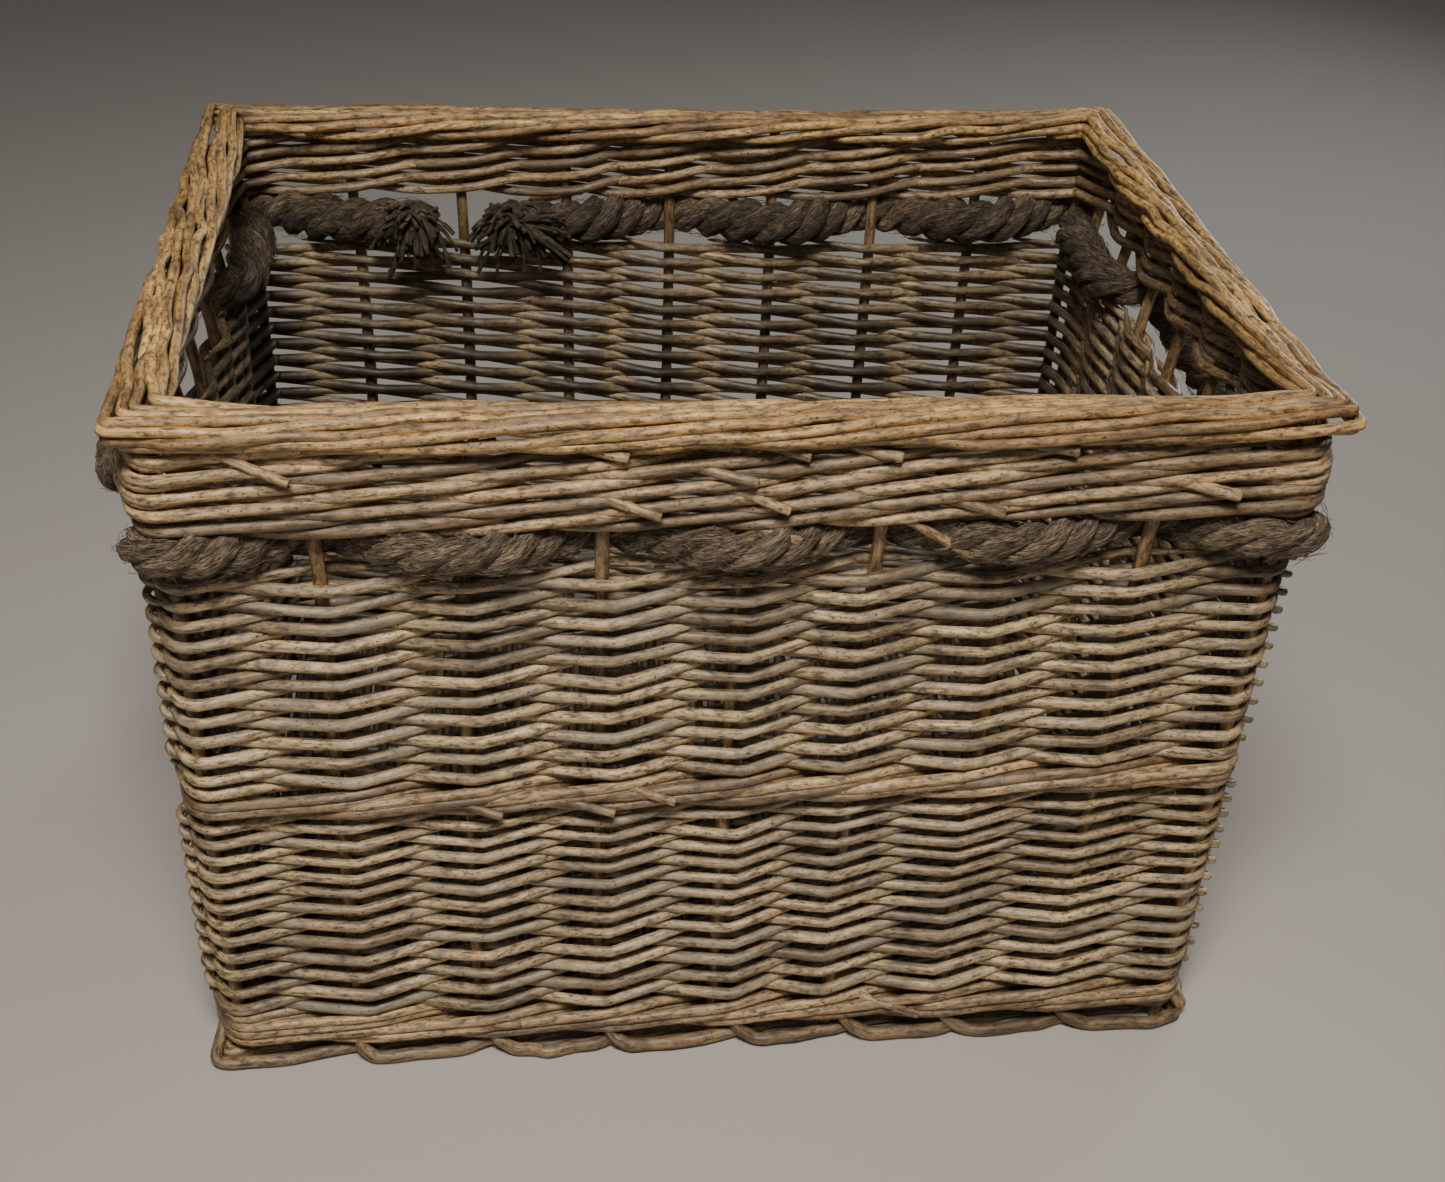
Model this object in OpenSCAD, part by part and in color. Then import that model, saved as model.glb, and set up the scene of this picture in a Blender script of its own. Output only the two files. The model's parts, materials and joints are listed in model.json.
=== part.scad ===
// Rectangular willow laundry basket: stakes woven with randed sidings and wales, a rolled top
// border, a foot border, and a thick rope threaded through a gap below the top wale. The rope
// is let out as a carrying loop at each short end, and each loop swings up to be held.
// Millimetres, +Z up, origin on the floor under the middle of the basket, front towards -Y.

/* [Overall size] */
// Width over the rim, left to right
rim_w = 560; // [540:5:620]
// Depth over the rim, front to back
rim_d = 432; // [420:2:460]
// How far the rim stands out beyond the wall below it
rim_over = 8.4; // [7:0.2:10]
// How far each wall leans out per millimetre of height
flare = 0.026; // [0.01:0.001:0.04]

/* [Rods] */
// Diameter of the upright stakes
stake_d = 7.2; // [6.6:0.1:7.6]
// Diameter of the rods woven in the two sidings
weaver_d = 5; // [4.5:0.1:5.2]
// Diameter of the rods in the middle and upper wales
wale_d = 6.4; // [6:0.1:6.6]
// Diameter of the rods rolled into the top border
border_d = 6.8; // [6.4:0.1:7]
// Diameter of the thin rod bound down each corner
binder_d = 4.4; // [3.6:0.1:4.6]
// Diameter of the long sticks in the base
base_stick_d = 8; // [7:0.5:9]

/* [Heights of the bands, from the floor up] */
// Height of the foot border
foot_h = 12; // [11:0.5:14]
// Height of one round of the bottom wale
base_round_h = 10.4; // [10:0.1:11]
// Rows of rod in the lower siding, an even number
lower_rows = 24; // [20:2:26]
// Height of one row in the lower siding
lower_row_h = 5.45; // [5.3:0.05:5.6]
// Height of the middle wale
middle_h = 19.2; // [18:0.2:20]
// Rows of rod in the upper siding, an even number
upper_rows = 22; // [18:2:24]
// Height of one row in the upper siding
upper_row_h = 5.4; // [5.3:0.05:5.6]
// Height of the gap that the rope runs in
gap_h = 22; // [22:0.5:25]
// Height of one round of the upper wale
wale_round_h = 11; // [11:0.1:12]
// Height of the top border
border_h = 15; // [15:0.2:18]

/* [Rope] */
// Diameter of the rope
rope_d = 21; // [19:0.5:21]
// How far a handle loop reaches from the wall
loop_reach = 36; // [30:1:42]
// How far below level a handle loop hangs at rest, in degrees
loop_droop = 45; // [35:1:50]
// Length of the frayed tail at each end of the rope
tail_h = 30; // [20:1:36]

/* [Hidden] */
$fn = 32;

WILLOW = [0.60, 0.51, 0.39];
GREY_WILLOW = [0.49, 0.43, 0.34];
GOLD_WILLOW = [0.72, 0.60, 0.43];
ROPE_BROWN = [0.27, 0.22, 0.17];

// Where each band starts
bottom_z = foot_h;
lower_z = bottom_z + 2 * base_round_h;
middle_z = lower_z + lower_rows * lower_row_h;
upper_z = middle_z + middle_h;
gap_z = upper_z + upper_rows * upper_row_h;
wale_z = gap_z + gap_h;
border_z = wale_z + 4 * wale_round_h;
height = border_z + border_h;
rope_z = gap_z + gap_h / 2;

// The wall: half sizes of its outside and of its middle plane at floor level
wall_half_t = stake_d / 2 + weaver_d;
lean_deg = atan(flare);
out_w0 = rim_w / 2 - rim_over - flare * height;
out_d0 = rim_d / 2 - rim_over - flare * height;
mid_w0 = out_w0 - wall_half_t;
mid_d0 = out_d0 - wall_half_t;
function mid_w(z) = mid_w0 + flare * z;
function mid_d(z) = mid_d0 + flare * z;
corner_cut = 12;
sector_in = 60;
mitre_gap = 0.1;
band_gap = 0.4;
reach = 60;

// Stakes: each wall is divided evenly between its two corner stakes
front_bays = 8;
side_bays = 6;
front_corner_in = 7;
side_corner_in = 22;
hole_clear = 0.1;
stake_z0 = 0.6;
hole_z0 = -5;
stake_top = border_z + border_h * 0.6;
front_end = mid_w0 - front_corner_in;
side_end = mid_d0 - side_corner_in;

// Base
base_half_t = base_stick_d / 2 + weaver_d;
base_mid_z = foot_h + band_gap + base_half_t;
base_gap = 0.4;
base_sticks_n = 7;
base_rod_pitch = 12;
base_w = mid_w(base_mid_z) - stake_d / 2 - wale_d - base_gap;
base_d = mid_d(base_mid_z) - stake_d / 2 - wale_d - base_gap;

// Rope route, at the height of the gap
rope_r = rope_d / 2;
rope_sides = 8;
amp = stake_d / 2 + rope_r + 0.3;
rope_w = mid_w(rope_z);
rope_dep = mid_d(rope_z);
bay_scale_x = rope_w / mid_w0;
bay_scale_y = rope_dep / mid_d0;
corner_x = front_end * bay_scale_x;
corner_y = rope_dep;
side_x = rope_w;
side_y = side_end * bay_scale_y;
bay = 2 * corner_x / front_bays;
pair_gap = norm([side_x - corner_x, side_y - corner_y]);
pinch_r = pair_gap / 2 - stake_d / 2 - 0.3;
pair_angle = atan2(corner_y - side_y, side_x - corner_x);
steps_per_bay = 6;
arc_step = 18;
loop_half = 92;
pivot_out = 15;
neck_r = 9;
pivot_gap = 0.4;
loop_square = 0.75;
loop_steps = 24;
end_turns = [75, 50, 25];
pivot_x = rope_w + pivot_out;
exit_r = pivot_x - neck_r - pivot_gap - (side_x - amp);
tail_in = wall_half_t + rope_r + 1.5;
tail_left_x = -2.45 * bay;
tail_right_x = -1.55 * bay;
last_in_left = -3 * bay;
last_in_right = -bay;
tail_steps = 3;

// ---- shared shapes ----

// Turns a shape drawn for the front wall into wall k: 0 front, 1 right, 2 back, 3 left
module wall(k) {
    rotate([0, 0, 90 * k]) children();
}

// The vertical wedge of space that belongs to one wall, split from its neighbours at 45 degrees
module sector(half_len, half_out) {
    translate([0, 0, -1])
        linear_extrude(height + 20)
            polygon([
                [-(half_len - sector_in), -half_out + sector_in],
                [half_len - sector_in, -half_out + sector_in],
                [half_len + sector_in, -half_out - sector_in],
                [-(half_len + sector_in), -half_out - sector_in]
            ]);
}

// What is cut from a wall's end to blunt the basket's upright corner
module corner_cutter(side, half_len, half_out) {
    translate([side * (half_len - corner_cut / 2), -half_out + corner_cut / 2, 0])
        rotate([0, 0, side * 45])
            rotate([atan(flare * sqrt(2)), 0, 0])
                translate([-reach, -2 * reach, -reach])
                    cube([2 * reach, 2 * reach, height + 2 * reach]);
}

// One wall's length of a band, from a profile whose -X side faces outwards
module wall_band(k, z, lean = true) {
    half_len = k % 2 == 0 ? out_w0 : out_d0;
    half_out = k % 2 == 0 ? out_d0 : out_w0;
    mid = half_out - wall_half_t;
    wall(k) difference() {
        intersection() {
            translate([0, -mid - (lean ? 0 : flare * z), 0])
                rotate([lean ? lean_deg : 0, 0, 0])
                    translate([0, 0, z])
                        rotate([90, 0, 90])
                            linear_extrude(2 * (half_len + reach), center = true) children();
            sector(half_len - mitre_gap, half_out);
        }
        for (side = [-1, 1]) corner_cutter(side, half_len, half_out);
    }
}

// All four walls of a band, with holes for the stakes
module band(z, lean = true) {
    for (k = [0 : 3]) difference() {
        wall_band(k, z, lean) children();
        wall_stakes(k, stake_d + 2 * hole_clear, hole_z0);
        wall_corner_stakes(k, stake_d + 2 * hole_clear, hole_z0);
    }
}

// Profile of woven rows: a core as thick as the stakes, with half rods on both faces
module woven_profile(h, rod, outside, inside, stagger = 0) {
    offset_x = (stake_d + rod) / 2;
    translate([-offset_x, 0]) square([2 * offset_x, h]);
    for (i = [0 : outside - 1])
        translate([-offset_x, (i + 0.5 - stagger) * h / outside]) circle(d = rod);
    for (i = [0 : inside - 1])
        translate([offset_x, (i + 0.5 + stagger) * h / inside]) circle(d = rod);
}

// A straight stake that starts over (x, y) and leans out with the walls
module stake(x, y, d, z0 = stake_z0, z1 = stake_top) {
    lean = [flare * x / mid_w0, flare * y / mid_d0];
    translate([x, y, 0])
        rotate([0, atan(norm(lean)), atan2(lean[1], lean[0])])
            translate([0, 0, z0]) cylinder(d = d, h = z1 - z0);
}

// The stakes of wall k between its corner stakes
module wall_stakes(k, d, z0 = stake_z0) {
    if (k % 2 == 0)
        for (i = [1 : front_bays - 1])
            stake((i - front_bays / 2) * 2 * front_end / front_bays, (k - 1) * mid_d0, d, z0);
    else
        for (i = [1 : side_bays - 1])
            stake((2 - k) * mid_w0, (i - side_bays / 2) * 2 * side_end / side_bays, d, z0);
}

// The corner stakes that stand in wall k
module wall_corner_stakes(k, d, z0 = stake_z0) {
    for (side = [-1, 1])
        if (k % 2 == 0) stake(side * front_end, (k - 1) * mid_d0, d, z0);
        else stake((2 - k) * mid_w0, side * side_end, d, z0);
}

// The two stakes at one corner
module corner_stakes(sx, sy) {
    stake(sx * front_end, sy * mid_d0, stake_d);
    stake(sx * mid_w0, sy * side_end, stake_d);
}

// The thin rod bound down the outside of one corner, over both sidings
module corner_binder(sx, sy) {
    off = binder_d / 2 + 0.05;
    z0 = lower_z + 1;
    z1 = gap_z - 1;
    x0 = out_w0 - corner_cut / 2 + off / sqrt(2);
    y0 = out_d0 - corner_cut / 2 + off / sqrt(2);
    translate([sx * x0, sy * y0, 0])
        rotate([0, 0, atan2(sy, sx)])
            rotate([0, atan(flare * sqrt(2)), 0])
                translate([0, 0, z0]) cylinder(d = binder_d, h = z1 - z0);
}

// ---- base and bands ----

module base_sticks() {
    color(GREY_WILLOW)
        for (i = [0 : base_sticks_n - 1])
            translate([-base_w + 1, (i + 0.5 - base_sticks_n / 2) * 2 * base_d / base_sticks_n, base_mid_z])
                rotate([0, 90, 0]) cylinder(d = base_stick_d, h = 2 * base_w - 2);
}

module base_weave() {
    rows = floor(2 * base_w / base_rod_pitch);
    pitch = 2 * base_w / rows;
    rod_z = (base_stick_d + weaver_d) / 2;
    color(WILLOW) difference() {
        translate([0, base_d, base_mid_z]) rotate([90, 0, 0])
            linear_extrude(2 * base_d) {
                translate([-base_w, -rod_z]) square([2 * base_w, 2 * rod_z]);
                for (i = [0 : rows - 1])
                    for (side = [-1, 1])
                        translate([-base_w + (i + 0.5 + side * 0.2) * pitch, side * rod_z])
                            circle(d = weaver_d);
            }
        for (i = [0 : base_sticks_n - 1])
            translate([-base_w - 1, (i + 0.5 - base_sticks_n / 2) * 2 * base_d / base_sticks_n, base_mid_z])
                rotate([0, 90, 0]) cylinder(d = base_stick_d + 2 * hole_clear, h = 2 * base_w + 2);
    }
}

module foot_border() {
    core = wall_half_t - 1;
    color(WILLOW) band(0, false) {
        translate([-core, 0]) square([2 * core, foot_h - band_gap]);
        for (side = [-1, 1])
            for (rise = [0.35, 0.65])
                translate([side * core, foot_h * rise]) circle(r = foot_h * 0.3);
    }
}

module bottom_wale(i) {
    color(WILLOW) band(bottom_z + i * base_round_h) woven_profile(base_round_h, base_round_h / 2, 2, 1);
}

module lower_siding() {
    color(GREY_WILLOW) band(lower_z)
        woven_profile(lower_rows * lower_row_h, weaver_d, lower_rows / 2, lower_rows / 2, 0.25);
}

module middle_wale() {
    color(WILLOW) band(middle_z) woven_profile(middle_h, wale_d, 3, 2);
}

module upper_siding() {
    color(GREY_WILLOW) band(upper_z)
        woven_profile(upper_rows * upper_row_h, weaver_d, upper_rows / 2, upper_rows / 2, 0.25);
}

module upper_wale(i) {
    color(WILLOW) band(wale_z + i * wale_round_h) woven_profile(wale_round_h, wale_round_h / 2, 2, 1);
}

// Profile of the whole rolled border: rods laid round an oval core
module border_bundle() {
    out_x = -(wall_half_t + rim_over);
    in_x = wall_half_t + border_d / 2 - 0.6;
    cx = (out_x + in_x) / 2;
    rx = (in_x - out_x - border_d) / 2;
    rz = (border_h - border_d) / 2;
    rod_at = [for (a = [0 : 36 : 324]) [cx + rx * cos(a), border_h / 2 + rz * sin(a)]];
    polygon(rod_at);
    for (p = rod_at) translate(p) circle(d = border_d);
    translate([cx - rx / 2, 0.2]) square([rx, border_h - 0.4]);
}

// Depth at which the border's outer and inner rods meet, outside the stakes
border_split = -(stake_d / 2 + 0.6);

module border_outer_rods() {
    color(GOLD_WILLOW) band(border_z) intersection() {
        border_bundle();
        translate([border_split - reach, -1]) square([reach, border_h + 2]);
    }
}

module border_inner_rods() {
    color(GOLD_WILLOW) band(border_z) intersection() {
        border_bundle();
        translate([border_split, -1]) square([reach, border_h + 2]);
    }
}

// ---- rope ----

// A round tube swept along points in the XY plane, with its own radius at each point
module planar_rope(pts, radii) {
    n = len(pts);
    heading = [for (i = [0 : n - 1])
        let (d = pts[min(i + 1, n - 1)] - pts[max(i - 1, 0)]) atan2(d[1], d[0])];
    rings = [for (i = [0 : n - 1]) for (j = [0 : rope_sides - 1])
        let (a = 360 * j / rope_sides, r = radii[i] / cos(180 / rope_sides / 2))
        [pts[i][0] - r * cos(a) * sin(heading[i]), pts[i][1] + r * cos(a) * cos(heading[i]), r * sin(a)]];
    sides = [for (i = [0 : n - 2]) for (j = [0 : rope_sides - 1])
        let (a = i * rope_sides + j, b = i * rope_sides + (j + 1) % rope_sides)
        [a, a + rope_sides, b + rope_sides, b]];
    first = [for (j = [0 : rope_sides - 1]) j];
    last = [for (j = [0 : rope_sides - 1]) n * rope_sides - 1 - j];
    polyhedron(rings, concat([first], sides, [last]), convexity = 8);
}

// Points on an arc, from angle a0 to a1, with a radius that changes evenly from r0 to r1
function arc(c, r0, r1, a0, a1) =
    let (n = ceil(abs(a1 - a0) / arc_step))
    [for (i = [0 : n]) let (t = i / n, a = a0 + (a1 - a0) * t, r = r0 + (r1 - r0) * t)
        [c[0] + r * cos(a), c[1] + r * sin(a)]];

function ramp(n, r0, r1) = [for (i = [0 : n - 1]) r0 + (r1 - r0) * i / (n - 1)];
function mirrored(pts, sx, sy) = [for (p = pts) [sx * p[0], sy * p[1]]];
function reversed(list) = [for (i = [len(list) - 1 : -1 : 0]) list[i]];

// In and out of the stakes of a long wall, from x0 to x1, as distances out from the wall
function wave(x0, x1) =
    let (n = ceil(abs(x1 - x0) / bay * steps_per_bay))
    [for (i = [0 : n]) let (x = x0 + (x1 - x0) * i / n) [x, -(rope_dep + amp * cos(180 * x / bay))]];

// From a long wall round the front right corner: outside the first corner stake, then through
// between the two, and along the inside of the short wall to where the handle loop comes out
over_corner = arc([corner_x, -corner_y], amp, pair_gap / 2, -90 + arc_step, pair_angle);
under_corner = arc([side_x, -side_y], pair_gap / 2, amp, pair_angle + 180, 180);
exit_bend = arc([side_x - amp + exit_r, -loop_half - exit_r], exit_r, exit_r, 180, 90);
corner_route = concat(
    over_corner,
    [for (i = [1 : len(under_corner) - 1]) under_corner[i]],
    [for (i = [1 : 2]) [side_x - amp, -side_y + (side_y - loop_half - exit_r) * i / 3]],
    exit_bend
);
corner_radii = concat(
    ramp(len(over_corner), rope_r, pinch_r),
    [for (i = [1 : len(under_corner) - 1])
        pinch_r + (rope_r - pinch_r) * i / (len(under_corner) - 1)],
    [rope_r, rope_r],
    ramp(len(exit_bend) - 1, rope_r, neck_r),
    [neck_r]
);

module rope_front() {
    middle = wave(-corner_x, corner_x);
    route = concat(reversed(mirrored(corner_route, -1, 1)), middle, corner_route);
    radii = concat(reversed(corner_radii), [for (p = middle) rope_r], corner_radii);
    color(ROPE_BROWN) translate([0, 0, rope_z]) planar_rope(route, radii);
}

// The back of the rope on one side: from the handle loop to the last stake that it passes
// inside, then along the inside of the wall to its free end over the tail
module rope_back(side, last_x, tail_x) {
    end_x = tail_x - side * rope_r;
    back = concat(
        [for (p = wave(side * corner_x, last_x)) [p[0], -p[1]]],
        [for (i = [1 : tail_steps]) let (t = i / tail_steps)
            [last_x + (end_x - last_x) * t, rope_dep - amp - (tail_in - amp) * t]]
    );
    route = concat(reversed(mirrored(corner_route, side, -1)), back);
    radii = concat(reversed(corner_radii), [for (p = back) rope_r]);
    color(ROPE_BROWN) translate([0, 0, rope_z])
        planar_rope(side > 0 ? route : reversed(route), side > 0 ? radii : reversed(radii));
}

// The frayed end of the rope, hanging down inside the back wall
module rope_tail(x) {
    tail_y = rope_dep - tail_in - flare * (tail_h + rope_r);
    color(ROPE_BROWN) translate([x, tail_y, rope_z - rope_r - tail_h - 0.3])
        cylinder(r1 = rope_r + 1, r2 = rope_r - 2, h = tail_h);
}

// A carrying loop, from one swing point round to the other, with a round end on each
module handle_rope(side) {
    turns = [for (i = [0 : loop_steps]) 180 * i / loop_steps];
    start = [for (a = end_turns) [-neck_r * sin(a), -loop_half]];
    middle = [for (t = turns) [loop_reach * pow(sin(t), loop_square), -loop_half * cos(t)]];
    start_radii = [for (a = end_turns) neck_r * cos(a)];
    middle_radii = [for (t = turns) neck_r + (rope_r - neck_r) * min(1, 4 * sin(t))];
    route = concat(start, middle, reversed(mirrored(start, 1, -1)));
    radii = concat(start_radii, middle_radii, reversed(start_radii));
    color(ROPE_BROWN) translate([side * pivot_x, 0, rope_z])
        mirror([side < 0 ? 1 : 0, 0, 0])
            rotate([0, loop_droop, 0]) planar_rope(route, radii);
}

base_sticks();
base_weave();
foot_border();
bottom_wale(0);  // bottom_wale_1
bottom_wale(1);  // bottom_wale_2
lower_siding();
middle_wale();
upper_siding();
upper_wale(0);  // upper_wale_1
upper_wale(1);  // upper_wale_2
upper_wale(2);  // upper_wale_3
upper_wale(3);  // upper_wale_4
border_outer_rods();
border_inner_rods();
color(WILLOW) wall_stakes(0, stake_d);  // front_stakes
color(WILLOW) wall_stakes(1, stake_d);  // right_stakes
color(WILLOW) wall_stakes(2, stake_d);  // back_stakes
color(WILLOW) wall_stakes(3, stake_d);  // left_stakes
color(WILLOW) corner_stakes(-1, -1);  // corner_stakes_front_left
color(WILLOW) corner_stakes(1, -1);  // corner_stakes_front_right
color(WILLOW) corner_stakes(-1, 1);  // corner_stakes_back_left
color(WILLOW) corner_stakes(1, 1);  // corner_stakes_back_right
color(WILLOW) corner_binder(-1, -1);  // corner_binder_front_left
color(WILLOW) corner_binder(1, -1);  // corner_binder_front_right
color(WILLOW) corner_binder(-1, 1);  // corner_binder_back_left
color(WILLOW) corner_binder(1, 1);  // corner_binder_back_right
rope_front();
rope_back(-1, last_in_left, tail_left_x);  // rope_back_left
rope_back(1, last_in_right, tail_right_x);  // rope_back_right
rope_tail(tail_left_x);  // rope_tail_left
rope_tail(tail_right_x);  // rope_tail_right
handle_rope(-1);  // left_handle_rope
handle_rope(1);  // right_handle_rope
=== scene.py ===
import json
import math

import bpy
import numpy as np
from mathutils import Matrix, Vector


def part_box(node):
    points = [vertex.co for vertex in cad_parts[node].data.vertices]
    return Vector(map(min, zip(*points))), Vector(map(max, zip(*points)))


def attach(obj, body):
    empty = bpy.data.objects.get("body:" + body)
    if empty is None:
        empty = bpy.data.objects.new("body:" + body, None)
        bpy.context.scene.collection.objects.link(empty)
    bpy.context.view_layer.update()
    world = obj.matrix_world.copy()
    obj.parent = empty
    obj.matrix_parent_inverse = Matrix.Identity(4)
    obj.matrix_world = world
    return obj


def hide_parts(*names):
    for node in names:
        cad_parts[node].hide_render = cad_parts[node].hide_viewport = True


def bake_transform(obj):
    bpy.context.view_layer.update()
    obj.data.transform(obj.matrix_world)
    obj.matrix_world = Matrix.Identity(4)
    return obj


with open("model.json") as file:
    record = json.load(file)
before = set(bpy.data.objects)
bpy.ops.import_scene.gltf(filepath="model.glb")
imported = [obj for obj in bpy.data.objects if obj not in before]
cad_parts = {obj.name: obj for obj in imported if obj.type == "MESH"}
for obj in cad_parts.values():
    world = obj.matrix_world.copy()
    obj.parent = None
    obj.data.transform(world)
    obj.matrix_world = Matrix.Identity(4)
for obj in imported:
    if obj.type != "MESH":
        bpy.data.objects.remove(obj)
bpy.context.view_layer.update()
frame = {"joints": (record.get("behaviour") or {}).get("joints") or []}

rng = np.random.default_rng(20)
TAU = 2 * math.pi


def add_object(name, data):
    obj = bpy.data.objects.new(name, data)
    bpy.context.scene.collection.objects.link(obj)
    return obj


# ---- camera

CAM_PLACE = (-0.1101, -0.9931, 0.7732)
CAM_LENS = 50.46
CAM_SENSOR = 36.0
CAM_YAW = math.radians(7.397)
CAM_PITCH = math.radians(31.299)
CAM_ROLL = math.radians(2.749)


def add_camera():
    """The camera, looking along +Y before its yaw to the right, pitch down and roll."""
    sy, cy = math.sin(CAM_YAW), math.cos(CAM_YAW)
    sp, cp = math.sin(CAM_PITCH), math.cos(CAM_PITCH)
    ahead = Vector((sy * cp, cy * cp, -sp))
    level = Vector((cy, -sy, 0.0))
    above = level.cross(ahead)
    right = level * math.cos(CAM_ROLL) + above * math.sin(CAM_ROLL)
    up = above * math.cos(CAM_ROLL) - level * math.sin(CAM_ROLL)
    data = bpy.data.cameras.new("camera")
    data.lens = CAM_LENS
    data.sensor_width = CAM_SENSOR
    cam = add_object("camera", data)
    turn = Matrix((right, up, -ahead)).transposed()
    cam.matrix_world = Matrix.Translation(CAM_PLACE) @ turn.to_4x4()
    bpy.context.scene.camera = cam


add_camera()

# ---- layout, from the frame

MM = 0.001
# as in CAD
STAKE_R = 3.6 * MM
FRONT_BAYS = 8
SIDE_BAYS = 6


def low(node):
    """A CAD node's lowest corner."""
    return np.array(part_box(node)[0])


def high(node):
    """A CAD node's highest corner."""
    return np.array(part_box(node)[1])


# MID_W and MID_D are where the middle of the walls meets the floor, and LEAN_W and LEAN_D say
# how far the walls lean out for each metre of height
SPAN = high("right_stakes")[2] - low("right_stakes")[2]
STAKE_Z0 = low("right_stakes")[2]
STAKE_Z1 = high("right_stakes")[2]
LEAN_W = (high("right_stakes")[0] - low("right_stakes")[0] - 2 * STAKE_R) / SPAN
LEAN_D = (high("back_stakes")[1] - low("back_stakes")[1] - 2 * STAKE_R) / SPAN
MID_W = low("right_stakes")[0] + STAKE_R - LEAN_W * STAKE_Z0
MID_D = low("back_stakes")[1] + STAKE_R - LEAN_D * STAKE_Z0
# the last stakes of a long wall and of a short wall
FRONT_END = low("corner_stakes_front_right")[0] + STAKE_R
SIDE_END = -(high("corner_stakes_front_right")[1] - STAKE_R)

# where each band starts
BOTTOM_Z = low("bottom_wale_1")[2]
LOWER_Z = low("lower_siding")[2]
MIDDLE_Z = low("middle_wale")[2]
UPPER_Z = low("upper_siding")[2]
GAP_Z = high("upper_siding")[2]
WALE_Z = low("upper_wale_1")[2]
BORDER_Z = low("border_outer_rods")[2]
TOP_Z = high("border_outer_rods")[2]
ROPE_Z = (low("rope_front")[2] + high("rope_front")[2]) / 2


def lean(points):
    """Moves points from the plan at floor level out to where the leaning walls put them."""
    points = np.array(points, float)
    z = points[:, 2]
    points[:, 0] *= 1 + LEAN_W * z / MID_W
    points[:, 1] *= 1 + LEAN_D * z / MID_D
    return points


SIDE_FLARE, FACE_FLARE = 7.5 * MM, 4.5 * MM
FLARE_BELOW, FLARE_ABOVE = 30 * MM, 19 * MM
SIDE_BULGE, FACE_BULGE = 3 * MM, 2 * MM
BULGE_WAVE = 2.4
WAVER_OUT, WAVER_UP = 0.8 * MM, 0.9 * MM
SETTLE = 50 * MM


def hump(distance, spread):
    """1 at no distance, falling smoothly to almost nothing at twice the spread."""
    return np.exp(-(distance / spread) ** 2)


def unit(v):
    return v / np.linalg.norm(v)


def lengths(vectors):
    return np.linalg.norm(vectors, axis=1)


def run(points):
    """The length along a line at each of its points."""
    return np.concatenate([[0], np.cumsum(lengths(np.diff(points, axis=0)))])


def sample(want, along, points):
    """Points of a line where its length along reaches each wanted value."""
    return np.stack([np.interp(want, along, column) for column in points.T], 1)


def warp(points):
    """The slight unevenness of a hand-made basket, the same for every piece that touches:
    the upper wale flares out, the walls bulge, and everything wavers a little."""
    x, y, z = points[:, 0], points[:, 1], points[:, 2]
    up = np.clip(z / SETTLE, 0, 1)
    mid = np.clip(np.sin(np.pi * z / TOP_Z), 0, 1)
    out = np.array(points)
    side = np.clip(np.abs(x) / MID_W, 0, 1) ** 3 * np.sign(x)
    face = np.clip(np.abs(y) / MID_D, 0, 1) ** 3 * np.sign(y)
    centre = (WALE_Z + BORDER_Z) / 2
    band = hump(z - centre, np.where(z < centre, FLARE_BELOW, FLARE_ABOVE))
    out[:, 0] += band * side * SIDE_FLARE
    out[:, 1] += band * face * FACE_FLARE
    out[:, 0] += mid * side * SIDE_BULGE * np.cos(np.pi * y / (BULGE_WAVE * MID_D))
    out[:, 1] += mid * face * FACE_BULGE * np.cos(np.pi * x / (BULGE_WAVE * MID_W))
    out[:, 0] += up * WAVER_OUT * np.sin(21 * y + 13 * z + 1.0)
    out[:, 1] += up * WAVER_OUT * np.sin(17 * x + 11 * z + 0.5)
    near_top = np.clip((TOP_Z - z) / SETTLE, 0.5, 1)
    out[:, 2] += up * WAVER_UP * np.sin(14 * x + 9 * y + 2.0) * near_top
    return out


ARC_POINTS = 25
STRAIGHT_POINTS = 40


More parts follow.
